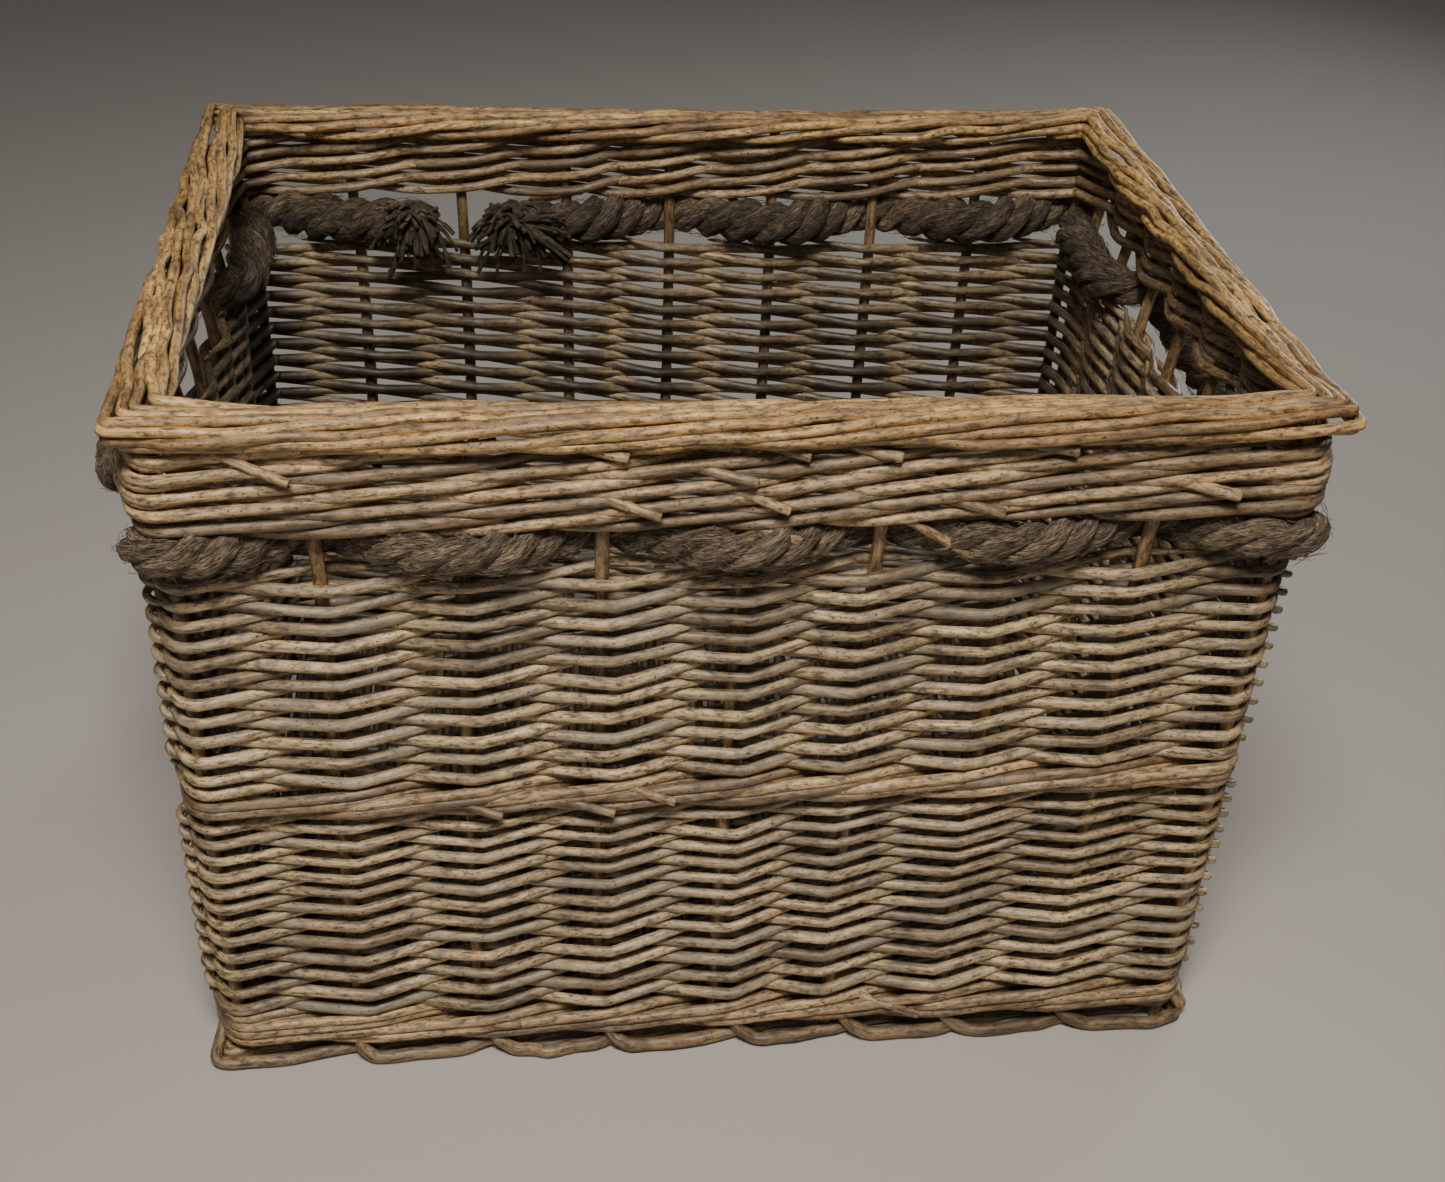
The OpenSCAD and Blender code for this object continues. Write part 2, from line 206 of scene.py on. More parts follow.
class Plan:
    """A closed line at floor level, anticlockwise from above, through rounded corners (x, y, r).
    It gives points and outward directions by length along it or by count of stakes."""

    def __init__(self, corners):
        n = len(corners)
        pts, nrm = [], []
        for i in range(n):
            p = np.array(corners[i][:2])
            a = p - np.array(corners[i - 1][:2])
            b = np.array(corners[(i + 1) % n][:2]) - p
            a, b = unit(a), unit(b)
            na, nb = np.array((a[1], -a[0])), np.array((b[1], -b[0]))
            turn = math.acos(np.clip(a @ b, -1, 1))
            r = corners[i][2]
            centre = p - a * r * math.tan(turn / 2) - na * r
            start = math.atan2(na[1], na[0])
            for t in np.linspace(0, 1, ARC_POINTS):
                d = np.array((math.cos(start + turn * t), math.sin(start + turn * t)))
                pts.append(centre + r * d)
                nrm.append(d)
            # the straight that follows, up to the next corner's arc
            q = np.array(corners[(i + 1) % n][:2])
            c = unit(np.array(corners[(i + 2) % n][:2]) - q)
            next_turn = math.acos(np.clip(b @ c, -1, 1))
            end = q - b * corners[(i + 1) % n][2] * math.tan(next_turn / 2)
            here = pts[-1]
            for t in np.linspace(0, 1, STRAIGHT_POINTS)[1:-1]:
                pts.append(here + (end - here) * t)
                nrm.append(nb)
        # the line starts in the middle of the first corner
        half = ARC_POINTS // 2
        pts, nrm = np.roll(np.array(pts), -half, 0), np.roll(np.array(nrm), -half, 0)
        closed = np.vstack([pts, pts[:1]])
        self.s, self.p, self.n = run(closed), closed, np.vstack([nrm, nrm[:1]])
        self.total = self.s[-1]
        # length along the plan at each stake: u counts stakes, and a corner pair counts as one
        knots_u, knots_s = [], []
        for e, q in enumerate(STAKE_PLAN):
            for k, one in enumerate(q):
                side = 0 if len(q) == 1 else (-CORNER_U, CORNER_U)[k]
                knots_u.append(e + side)
                knots_s.append(self.s[np.argmin(lengths(self.p[:-1] - np.array(one)))])
        if knots_s[0] > self.total / 2:
            knots_s[0] -= self.total
        self.ku = np.array(knots_u + [knots_u[0] + STAKES])
        self.ks = np.array(knots_s + [knots_s[0] + self.total])

    def length(self, u):
        """Length along the plan at stake count u, over any number of laps."""
        u = np.asarray(u, float)
        lap = np.floor((u - self.ku[0]) / STAKES)
        return lap * self.total + np.interp(u - lap * STAKES, self.ku, self.ks)

    def place(self, s):
        """Points and outward directions at length s along the plan."""
        s = np.mod(s, self.total)
        n = sample(s, self.s, self.n)
        return sample(s, self.s, self.p), n / lengths(n)[:, None]

    def points(self, u, depth, z):
        """Points at stake count u, depth outwards from the wall's middle, and height z."""
        p, n = self.place(self.length(u))
        xy = p + n * np.asarray(depth)[:, None]
        return warp(lean(np.column_stack([xy, z])))


def stake_plan():
    """The stakes at floor level in order, from the front left corner. A corner has two."""
    fl = [(-MID_W, -SIDE_END), (-FRONT_END, -MID_D)]
    fr = [(FRONT_END, -MID_D), (MID_W, -SIDE_END)]
    br = [(MID_W, SIDE_END), (FRONT_END, MID_D)]
    bl = [(-FRONT_END, MID_D), (-MID_W, SIDE_END)]
    fx = [(2 * i / FRONT_BAYS - 1) * FRONT_END for i in range(1, FRONT_BAYS)]
    sy = [(2 * i / SIDE_BAYS - 1) * SIDE_END for i in range(1, SIDE_BAYS)]
    return (
        [fl] + [[(x, -MID_D)] for x in fx] + [fr] + [[(MID_W, y)] for y in sy]
        + [br] + [[(-x, MID_D)] for x in fx] + [bl] + [[(-MID_W, -y)] for y in sy]
    )


# a corner's two stakes count as this much before and after the corner
CORNER_U = 0.09
STAKE_PLAN = stake_plan()
STAKES = len(STAKE_PLAN)
CORNERS = dict(zip(("front_left", "front_right", "back_right", "back_left"),
                   (e for e, q in enumerate(STAKE_PLAN) if len(q) == 2)))
# the weave turns in two bends at a corner, one at each stake, and the borders turn square
SHARP = 7 * MM
MILD = 30 * MM
SQUARE_R = 1 * MM
PLAN = Plan([
    (-FRONT_END, -MID_D, SHARP), (FRONT_END, -MID_D, SHARP),
    (MID_W, -SIDE_END, MILD), (MID_W, SIDE_END, MILD),
    (FRONT_END, MID_D, SHARP), (-FRONT_END, MID_D, SHARP),
    (-MID_W, SIDE_END, MILD), (-MID_W, -SIDE_END, MILD),
])
SQUARE = Plan([
    (-MID_W, -MID_D, SQUARE_R), (MID_W, -MID_D, SQUARE_R),
    (MID_W, MID_D, SQUARE_R), (-MID_W, MID_D, SQUARE_R),
])

# ---- tubes


def smooth_noise(n_points, knots, size):
    """A smooth random curve sampled at n_points, with about that many knots."""
    knots = max(4, int(knots))
    values = rng.normal(0, size, knots)
    x = np.linspace(0, knots - 1, n_points)
    i = np.clip(np.floor(x).astype(int), 0, knots - 2)
    t = x - i
    t = t * t * (3 - 2 * t)
    return values[i] * (1 - t) + values[i + 1] * t


def thin_out(points, radii, step, turn):
    """New rings along a line, one for each step metres or turn radians of bend."""
    d = np.diff(points, axis=0)
    length = lengths(d)
    t = d / np.maximum(length, 1e-9)[:, None]
    bend = np.arccos(np.clip(np.sum(t[1:] * t[:-1], axis=1), -1, 1))
    bend = np.concatenate([[0], bend])
    cost = np.concatenate([[0], np.cumsum(length / step + bend / turn)])
    count = max(3, int(math.ceil(cost[-1])) + 1)
    want = np.linspace(0, cost[-1], count)
    return sample(want, cost, points), np.interp(want, cost, radii)


def frames(points, ref=None):
    """Tangent, side and up at each point, carried along without twist."""
    t = np.gradient(points, axis=0)
    t /= np.maximum(lengths(t), 1e-12)[:, None]
    n = len(points)
    side = np.zeros((n, 3))
    first = np.cross(t[0], (0, 0, 1.0)) if ref is None else np.array(ref, float)
    if np.linalg.norm(first) < 0.2:
        first = np.cross(t[0], (0, 1.0, 0.3))
    cur = unit(first - t[0] * (first @ t[0]))
    side[0] = cur
    for i in range(1, n):
        cur = cur - t[i] * (cur @ t[i])
        cur /= math.sqrt(cur @ cur)
        side[i] = cur
    return t, side, np.cross(side, t)


def tube_faces(n, sides):
    """The quads between n rings of points, and the two end faces."""
    i, j = np.meshgrid(np.arange(n - 1), np.arange(sides), indexing="ij")
    k = (j + 1) % sides
    quads = np.stack([i * sides + j, i * sides + k, (i + 1) * sides + k, (i + 1) * sides + j], 2)
    return quads.reshape(-1, 4), [np.arange(sides)[::-1], (n - 1) * sides + np.arange(sides)]


def round_about(side, up, sides):
    """For each point of a line, directions to the corners of the ring round it."""
    a = np.arange(sides) * TAU / sides
    ca, sa = np.cos(a), np.sin(a)
    return a, ca, sa, side[:, None, :] * ca[None, :, None] + up[:, None, :] * sa[None, :, None]


LIP = 0.5 * MM
CUT_SIZE = 0.93
TIP_SIZE = 0.35


def lip(end, inner):
    """A point just inside the end of a rod, where the rounded edge of its cut begins."""
    along = inner - end
    return end + along * min(0.3, LIP / max(np.linalg.norm(along), 1e-6))


class Builder:
    """Collects tubes and turns them into one mesh with the attributes that the looks read:
    grain (along and across the rod), place, tone (0 dark to 1 light) and cut (1 at a cut end)."""

    def __init__(self):
        self.loops, self.sizes, self.flat = [], [], []
        self.grain, self.place, self.tone, self.cut = [], [], [], []
        self.count = 0

    def add(self, verts, quads, caps, grain, tone, cut):
        self.place.append(verts)
        self.loops.append((quads + self.count).ravel())
        self.sizes.append(np.full(len(quads), 4))
        self.flat.append(np.zeros(len(quads), bool))
        for c in caps:
            self.loops.append(c + self.count)
            self.sizes.append(np.array([len(c)]))
            self.flat.append(np.ones(1, bool))
        self.grain.append(grain)
        self.tone.append(np.full(len(verts), tone))
        self.cut.append(cut)
        self.count += len(verts)

    def tube(self, points, radii, sides=8, step=9 * MM, turn=0.2, start="cut", end="cut",
             ref=None, tone=None, rough=0.0):
        """A rod along points. Its ends are cut (flat) or tip (drawn thin)."""
        points = np.asarray(points, float)
        radii = np.broadcast_to(np.asarray(radii, float), (len(points),))
        points, radii = thin_out(points, radii, step, turn)
        if rough:
            radii = radii * (1 + smooth_noise(len(points), len(points) / 2, rough))
        cut = np.zeros(len(points))
        if start == "cut":
            points = np.vstack([points[:1], lip(points[0], points[1])[None], points[1:]])
            radii = np.concatenate([[radii[0] * CUT_SIZE], radii])
            cut = np.concatenate([[1], cut])
        else:
            radii[0] *= TIP_SIZE
        if end == "cut":
            points = np.vstack([points[:-1], lip(points[-1], points[-2])[None], points[-1:]])
            radii = np.concatenate([radii, [radii[-1] * CUT_SIZE]])
            cut = np.concatenate([cut, [1]])
        else:
            radii[-1] *= TIP_SIZE
        n = len(points)
        _, side, up = frames(points, ref)
        _, ca, sa, ring = round_about(side, up, sides)
        along = run(points)
        wide = np.repeat(radii[:, None], sides, 1)
        verts = points[:, None, :] + ring * wide[:, :, None]
        tone = rng.random() if tone is None else tone
        shift = rng.random() * 10
        grain = np.stack([
            np.repeat(along[:, None] + shift, sides, 1), wide * ca[None], wide * sa[None] + shift,
        ], 2)
        quads, caps = tube_faces(n, sides)
        self.add(verts.reshape(-1, 3), quads, caps, grain.reshape(-1, 3), tone,
                 np.repeat(cut, sides))

    def build(self, name):
        v = np.concatenate(self.place)
        loops = np.concatenate(self.loops).astype(np.int32)
        sizes = np.concatenate(self.sizes).astype(np.int32)
        flat = np.concatenate(self.flat)
        mesh = bpy.data.meshes.new(name)
        mesh.vertices.add(len(v))
        mesh.vertices.foreach_set("co", v.astype(np.float32).ravel())
        mesh.loops.add(len(loops))
        mesh.loops.foreach_set("vertex_index", loops)
        mesh.polygons.add(len(sizes))
        starts = np.concatenate([[0], np.cumsum(sizes)[:-1]]).astype(np.int32)
        mesh.polygons.foreach_set("loop_start", starts)
        mesh.polygons.foreach_set("use_smooth", ~flat)
        mesh.update(calc_edges=True)
        for attribute in ("grain", "place", "tone", "cut"):
            data = np.concatenate(getattr(self, attribute)).astype(np.float32)
            kind, key = ("FLOAT_VECTOR", "vector") if data.ndim == 2 else ("FLOAT", "value")
            layer = mesh.attributes.new(attribute, kind, "POINT")
            layer.data.foreach_set(key, data.ravel())
        return add_object(name, mesh)


def keep(builder, name, look, nodes, body="basket"):
    """Makes the finished piece, hides the CAD nodes it stands for, and attaches it to what it
    rides on.
    """
    obj = builder.build(name)
    obj.data.materials.append(look)
    if nodes:
        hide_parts(*nodes)
    if body:
        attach(obj, body)
    return obj


# ---- looks


class Graph:
    """A short way to write a material's nodes."""

    def __init__(self, name):
        self.material = bpy.data.materials.new(name)
        self.material.use_nodes = True
        self.tree = self.material.node_tree
        self.tree.nodes.clear()

    def node(self, kind, inputs=None, **settings):
        n = self.tree.nodes.new(kind)
        for k, v in settings.items():
            setattr(n, k, v)
        for k, v in (inputs or {}).items():
            if isinstance(v, bpy.types.NodeSocket):
                self.tree.links.new(v, n.inputs[k])
            else:
                n.inputs[k].default_value = v
        return n

    def read(self, attribute, output="Vector"):
        return self.node("ShaderNodeAttribute", attribute_name=attribute).outputs[output]

    def math(self, op, a, b=0.0):
        return self.node("ShaderNodeMath", {0: a, 1: b}, operation=op).outputs[0]

    def spread(self, value, a, b, to_min=0.0, to_max=1.0):
        return self.node("ShaderNodeMapRange", {
            "Value": value, "From Min": a, "From Max": b, "To Min": to_min, "To Max": to_max,
        }).outputs[0]

    def noise(self, vector, scale, stretch=(1, 1, 1), detail=3.0, rough=0.55, offset=0.0):
        place = self.node("ShaderNodeMapping", {
            "Vector": vector, "Scale": stretch, "Location": (offset, offset, offset)}).outputs[0]
        return self.node("ShaderNodeTexNoise", {
            "Vector": place, "Scale": scale, "Detail": detail, "Roughness": rough}).outputs[0]

    def ramp(self, value, *stops):
        """A colour ramp through (position, colour or grey level) stops."""
        n = self.node("ShaderNodeValToRGB", {0: value})
        e = n.color_ramp.elements
        while len(e) < len(stops):
            e.new(0.5)
        for item, (where, shade) in zip(e, stops):
            item.position = where
            item.color = (*shade, 1) if hasattr(shade, "__len__") else (shade, shade, shade, 1)
        return n.outputs[0]

    def mix(self, share, a, b, how="MIX"):
        a, b = (v if isinstance(v, bpy.types.NodeSocket) else (*v, 1) for v in (a, b))
        return self.node("ShaderNodeMix", {0: share, 6: a, 7: b}, data_type="RGBA",
                         blend_type=how).outputs[2]

    def times(self, a, b):
        return self.mix(1.0, a, b, "MULTIPLY")

    def finish(self, colour, rough, normal, **constants):
        inputs = {"Base Color": colour, "Roughness": rough, "Normal": normal, **constants}
        shader = self.node("ShaderNodeBsdfPrincipled", inputs)
        out = self.node("ShaderNodeOutputMaterial")
        self.tree.links.new(shader.outputs[0], out.inputs["Surface"])
        return self.material


def srgb(r, g, b):
    """A screen colour as the linear values that a shader takes."""
    def one(c):
        c /= 255
        return c / 12.92 if c <= 0.04045 else ((c + 0.055) / 1.055) ** 2.4
    return (one(r), one(g), one(b))


def halfway(a, b):
    return [0.5 * (p + q) for p, q in zip(a, b)]


OUTER_FACE = 1 * MM
INNER_FACE = -5 * MM
# painted shade near the floor: below this height the weave darkens, down to this share at the
# floor
FLOOR_SHADE_Z = 60 * MM
FLOOR_SHADE = 0.7


def painted_inside_shade(g, place, low_z, high_z, least):
    """Painted shade on the inside of the basket, as a factor on the colour: 1 on the outside and
    at the top, falling to least on the inside near the bottom."""
    part = g.node("ShaderNodeSeparateXYZ", {0: place}).outputs
    reach = []
    for axis, half, slope in ((0, MID_W, LEAN_W), (1, MID_D, LEAN_D)):
        wall = g.math("MULTIPLY_ADD", part[2], slope)
        wall.node.inputs[2].default_value = half
        reach.append(g.math("SUBTRACT", g.math("ABSOLUTE", part[axis]), wall))
    outwards = g.math("MAXIMUM", *reach)
    inner = g.spread(outwards, OUTER_FACE, INNER_FACE)
    deep = g.spread(part[2], high_z, low_z, to_max=1 - least)
    return g.math("SUBTRACT", 1.0, g.math("MULTIPLY", inner, deep))


def willow(name, light, middle, dark, grey, grey_share, least=0.22):
    """Weathered willow with its bark on: lengthwise streaks, mottling, dark specks, grey bloom.
    The cut ends are bare wood, and painted shade darkens the weave inside and near the floor."""
    g = Graph(name)
    grain, place = g.read("grain"), g.read("place")
    tone, cut = g.read("tone", "Fac"), g.read("cut", "Fac")
    streak = g.noise(grain, 1.0, (34, 620, 620), 5.0, 0.65)
    mottle = g.noise(grain, 1.0, (150, 420, 420), 5.0, 0.7, 3.0)
    speck = g.noise(grain, 1.0, (520, 1000, 1000), 2.0, 0.5, 7.0)
    patch = g.noise(place, 18.0, (1, 1, 1), 4.0, 0.65, 1.0)
    slow = g.noise(grain, 1.0, (14, 90, 90), 2.0, 0.5, 5.0)
    base = g.ramp(tone, (0.0, [0.8 * c for c in middle]), (0.5, halfway(light, middle)),
                  (1.0, light))
    shade = g.ramp(streak, (0.32, 0.42), (0.50, 0.95), (0.66, 1.4))
    colour = g.times(base, shade)
    colour = g.mix(g.ramp(mottle, (0.46, 0.0), (0.62, 0.9)), colour, dark)
    bloom = g.math("MULTIPLY", g.ramp(slow, (0.45, 0.0), (0.65, 1.0)), grey_share)
    colour = g.mix(bloom, colour, grey)
    colour = g.mix(g.ramp(patch, (0.46, 0.0), (0.68, 0.6)), colour, dark)
    colour = g.mix(g.ramp(speck, (0.62, 0.0), (0.70, 0.9)), colour, [c * 0.3 for c in dark])
    inner = g.ramp(g.noise(grain, 900.0), (0.4, 0.5), (0.6, 1.1))
    end = g.times([c * 0.7 for c in middle], inner)
    colour = g.mix(g.math("MULTIPLY", cut, 0.9), colour, end)
    # painted shade: the inside of the basket darker towards the bottom
    colour = g.times(colour, painted_inside_shade(g, place, 0.22, 0.37, least))
    z = g.node("ShaderNodeSeparateXYZ", {0: place}).outputs[2]
    # painted shade: darker towards the floor
    colour = g.times(colour, g.spread(z, 0.0, FLOOR_SHADE_Z, to_min=FLOOR_SHADE))
    height = g.math("ADD", g.math("MULTIPLY", streak, 0.7), g.math("MULTIPLY", mottle, 0.6))
    bump = g.node("ShaderNodeBump", {"Strength": 0.7, "Distance": 0.0006, "Height": height})
    rough = g.ramp(mottle, (0.3, 0.36), (0.7, 0.64))
    return g.finish(colour, rough, bump.outputs[0], **{"Specular IOR Level": 0.65})


def coir(name, light, dark):
    """Dark rope of coarse fibre."""
    g = Graph(name)
    grain, place, tone = g.read("grain"), g.read("place"), g.read("tone", "Fac")
    fibre = g.noise(grain, 1.0, (220, 1700, 1700), 5.0, 0.7)
    clump = g.noise(grain, 1.0, (80, 320, 320), 4.0, 0.65, 4.0)
    colour = g.ramp(fibre, (0.40, dark), (0.54, halfway(light, dark)), (0.66, light))
    colour = g.times(colour, g.ramp(clump, (0.34, 0.4), (0.66, 1.5)))
    colour = g.times(colour, g.ramp(tone, (0.0, 0.7), (1.0, 1.4)))
    # painted shade: the rope on the inside of the basket darker
    colour = g.times(colour, painted_inside_shade(g, place, 0.30, 0.36, 0.3))
    height = g.math("ADD", fibre, g.math("MULTIPLY", clump, 0.8))
    bump = g.node("ShaderNodeBump", {"Strength": 1.0, "Distance": 0.0016, "Height": height})
    return g.finish(colour, 0.9, bump.outputs[0])


DARK = srgb(70, 52, 34)
GREY = srgb(158, 148, 128)
BORDER_LOOK = willow("willow_border", srgb(236, 192, 122), srgb(178, 136, 82), DARK, GREY, 0.14)
WALE_LOOK = willow("willow_wale", srgb(218, 182, 130), srgb(156, 128, 92), DARK, GREY, 0.24)
SIDING_LOOK = willow("willow_siding", srgb(217, 187, 140), srgb(156, 131, 95), srgb(60, 46, 32),
                     srgb(166, 154, 132), 0.5)
STAKE_LOOK = willow("willow_stake", srgb(184, 148, 100), srgb(134, 104, 68), srgb(56, 42, 28),
                    srgb(128, 116, 98), 0.4)
BASE_LOOK = willow("willow_base", srgb(150, 124, 90), srgb(112, 90, 62), srgb(50, 38, 26),
                   srgb(110, 98, 80), 0.4, least=0.4)
ROPE_LOOK = coir("rope_fibre", srgb(178, 154, 124), srgb(33, 26, 20))

# ---- rope line

# the rope's radius in CAD and to look at, and how far along it a strand takes to go round
ROPE_R = 10.5 * MM
ROPE_LOOK_R = 11.7 * MM
ROPE_STRANDS = 3
STRAND_R = 6.9 * MM
ROPE_LAY = 52 * MM
ROPE_STEP = 1.6 * MM
# the rope lies higher than CAD's along the long walls, and is thicker along the back
ROPE_RISE = 3 * MM
BACK_RISE = 1.5 * MM
RISE_FROM = 115 * MM
RISE_OVER = 40 * MM
BACK_SWELL = 2.2 * MM
# a handle loop: half its width, how far it reaches, and how far below level it hangs
LOOP_HALF = 92 * MM
LOOP_REACH = 45 * MM
LOOP_DROOP = math.radians(55)
# how far the free ends lie inside the middle of the back wall
WALL_HALF = 8.6 * MM
TAIL_IN = WALL_HALF + ROPE_R + 1.5 * MM


def scaled(xy, z):
    """A point of the plan at floor level, moved out to where the leaning walls are at z."""
    return np.array((xy[0] * (1 + LEAN_W * z / MID_W), xy[1] * (1 + LEAN_D * z / MID_D)))


PIVOT_X = abs(frame["joints"][0]["pos_m"][0])
# how far the rope swings from the middle of the wall: to look at, it is pressed to the stakes
AMP = STAKE_R + 8.8 * MM
CAD_AMP = STAKE_R + ROPE_R + 0.3 * MM
CORNER_X, CORNER_Y = scaled((FRONT_END, MID_D), ROPE_Z)
SIDE_X, SIDE_Y = scaled((MID_W, SIDE_END), ROPE_Z)
ROPE_BAY = 2 * CORNER_X / FRONT_BAYS
# CAD's radius and gap where a loop leaves the wall, and the bend that leads there
NECK = 9.4 * MM
EXIT_R = PIVOT_X - NECK - (SIDE_X - CAD_AMP)
# between the two stakes of a corner
PAIR_GAP = math.hypot(SIDE_X - CORNER_X, SIDE_Y - CORNER_Y)
PAIR_ANGLE = math.degrees(math.atan2(CORNER_Y - SIDE_Y, SIDE_X - CORNER_X))
PINCH_R = PAIR_GAP / 2 - STAKE_R - 0.9 * MM
CORNER_SQUEEZE = 1.5 * MM
# each free end, and the last stake that the rope passes inside before it
TAIL_X = {-1: -2.45 * ROPE_BAY, 1: -1.55 * ROPE_BAY}
LAST_IN = {-1: -3 * ROPE_BAY, 1: -1 * ROPE_BAY}


def arc(cx, cy, r0, r1, a0, a1):
    """A level arc from angle a0 to a1 in degrees, with a radius that goes from r0 to r1."""
    t = np.linspace(0, 1, max(3, int(abs(a1 - a0) / 6)))
    a = np.radians(a0 + (a1 - a0) * t)
    r = r0 + (r1 - r0) * t
    return np.stack([cx + r * np.cos(a), cy + r * np.sin(a), np.full(len(t), ROPE_Z)], 1)


def rope_corner():
    """From the front wall round the front right corner to where the handle loop comes out."""
    over = arc(CORNER_X, -CORNER_Y, AMP, PAIR_GAP / 2 - CORNER_SQUEEZE, -90, PAIR_ANGLE)
    under = arc(SIDE_X, -SIDE_Y, PAIR_GAP / 2, CAD_AMP, PAIR_ANGLE + 180, 180)
    inside = SIDE_X - CAD_AMP
    bend = arc(inside + EXIT_R, -LOOP_HALF - EXIT_R, EXIT_R, EXIT_R, 180, 90)
    stub = np.array([(PIVOT_X - 2 * MM, -LOOP_HALF, ROPE_Z)])
    return np.vstack([over, under[1:], bend, stub])


def rope_loop():
    """The right handle loop, hanging."""
    t = np.linspace(0, np.pi, 60)
    u = LOOP_REACH * np.sin(t) ** 0.75
    return np.stack([
        PIVOT_X + u * math.cos(LOOP_DROOP), -LOOP_HALF * np.cos(t),
        ROPE_Z - u * math.sin(LOOP_DROOP),
    ], 1)


def rope_wave(x0, x1, side):
    """In and out of the stakes of the front wall (side -1) or the back wall (side 1)."""
    x = np.linspace(x0, x1, max(8, int(abs(x1 - x0) / (3 * MM))))
    y = side * (CORNER_Y + AMP * np.cos(np.pi * x / ROPE_BAY))
    return np.stack([x, y, np.full(len(x), ROPE_Z)], 1)


def rope_half(side):
    """The right half of the rope, or the left half mirrored, from the middle of the front."""
    corner = rope_corner()
    half = np.vstack([rope_wave(0, CORNER_X, -1)[:-1], corner, rope_loop(),
                      (corner * (1, -1, 1))[::-1]])
    half *= (side, 1, 1)
    last, tail = LAST_IN[side], TAIL_X[side] - side * ROPE_R
    back = rope_wave(side * CORNER_X, last, 1)[1:]
    t = np.linspace(0, 1, 20)[1:]
    end = np.stack([last + (tail - last) * t, CORNER_Y - AMP - (TAIL_IN - AMP) * t,
                    np.full(len(t), ROPE_Z)], 1)
    return np.vstack([half, back, end])


def even(points, step):
    """The same line with points about a step apart."""
    along = run(points)
    want = np.linspace(0, along[-1], int(round(along[-1] / step)) + 1)
    return sample(want, along, points)


def relax(points, reach, times):
    """Rounds off corners: each point moves to the mean of those within reach samples."""
    for _ in range(times):
        padded = np.vstack([2 * points[0] - points[reach:0:-1], points,
                            2 * points[-1] - points[-2:-reach - 2:-1]])
        total = np.cumsum(np.vstack([np.zeros(3), padded]), axis=0)
        width = 2 * reach + 1
        points = (total[width:] - total[:-width]) / width
    return points


rope_line = np.vstack([rope_half(-1)[::-1], rope_half(1)[1:]])
away = np.clip((np.abs(rope_line[:, 1]) - RISE_FROM) / RISE_OVER, 0, 1)
rope_line[:, 2] += (ROPE_RISE + BACK_RISE * (rope_line[:, 1] > 0)) * away * away * (3 - 2 * away)
rope_line = relax(even(rope_line, 1.0 * MM), 4, 3)
rope_line = even(rope_line, ROPE_STEP)
rope_s = run(rope_line)

PINCH_SPREAD = 16 * MM
NECK_DENT, NECK_SPREAD = 1.2 * MM, 14 * MM
STAKE_DENT, STAKE_SPREAD = 1.7 * MM, 10 * MM


def rope_radius(points):
    """The rope's radius: pinched at the corners, where it leaves the wall and beside the
    stakes, and swollen along the back wall."""
    r = np.full(len(points), ROPE_LOOK_R)
    for sx in (-1, 1):
        for sy in (-1, 1):
            c = np.array((sx * (CORNER_X + SIDE_X) / 2, sy * (CORNER_Y + SIDE_Y) / 2, ROPE_Z))
            r -= (ROPE_LOOK_R - PINCH_R) * hump(lengths(points - c), PINCH_SPREAD)
            p = np.array((sx * PIVOT_X, sy * LOOP_HALF, ROPE_Z))
            r -= NECK_DENT * hump(lengths(points - p), NECK_SPREAD)
    along = np.abs(points[:, 1]) > CORNER_Y - 30 * MM
    back = np.clip((points[:, 1] - CORNER_Y + 45 * MM) / (20 * MM), 0, 1)
    r += BACK_SWELL * back * np.clip((CORNER_X - np.abs(points[:, 0])) / (30 * MM), 0, 1)
    beside = np.mod(points[:, 0] / ROPE_BAY + 0.5, 1) - 0.5
    r -= along * STAKE_DENT * hump(beside * ROPE_BAY, STAKE_SPREAD)
    return r


rope_r = rope_radius(rope_line) * (1 + smooth_noise(len(rope_line), 60, 0.015))
rope_t, rope_side, rope_up = frames(rope_line, (0, 1, 0))


GATE_X = PIVOT_X - 9 * MM


def split_at(side, y_sign):
    """Index where the rope passes from the wall to a handle loop."""
    x = side * rope_line[:, 0]
    near = (np.abs(rope_line[:, 1] - y_sign * LOOP_HALF) < 20 * MM) & (x > GATE_X - 12 * MM)
    idx = np.where(near)[0]
    return idx[np.argmin(np.abs(x[idx] - GATE_X) + np.abs(rope_line[idx, 2] - ROPE_Z))]


GATES = sorted([split_at(-1, 1), split_at(-1, -1), split_at(1, -1), split_at(1, 1)])
ROPE_SPANS = {
    "rope_back_left": (0, GATES[0]),
    "left_handle_rope": (GATES[0], GATES[1]),
    "rope_front": (GATES[1], GATES[2]),
    "right_handle_rope": (GATES[2], GATES[3]),
    "rope_back_right": (GATES[3], len(rope_line) - 1),
}


def strand_rings(k, i0, i1, sides):
    """One strand's rings between two samples of the rope line."""
    idx = np.arange(i0, i1 + 1)
    p, r = rope_line[idx], rope_r[idx]
    side, up = rope_side[idx], rope_up[idx]
    s = rope_s[idx]
    theta = TAU * (s / ROPE_LAY + k / ROPE_STRANDS)
    out = side * np.cos(theta)[:, None] + up * np.sin(theta)[:, None]
    fit = r / ROPE_LOOK_R
    centre = p + out * ((ROPE_LOOK_R - STRAND_R) * fit)[:, None]
    a, ca, sa, ring = round_about(side, up, sides)
    # six yarns show round a strand, and it is a little lumpy
    yarn = 0.055 * np.cos(6 * (a[None, :] - 3.0 * s[:, None] / ROPE_LAY) + 2 * k)
    lump = 0.04 * np.sin(360 * s[:, None] + 3 * a[None, :] + k)
    wide = (STRAND_R * fit)[:, None] * (1 + yarn + lump)
    verts = centre[:, None, :] + ring * wide[:, :, None]
    grain = np.stack([
        np.repeat(s[:, None], sides, 1) + k * 3.0, wide * ca, wide * sa + k * 2.0], 2)
    return verts, grain


STRAND_SIDES = 22
HAIRS_PER_METRE = 2300


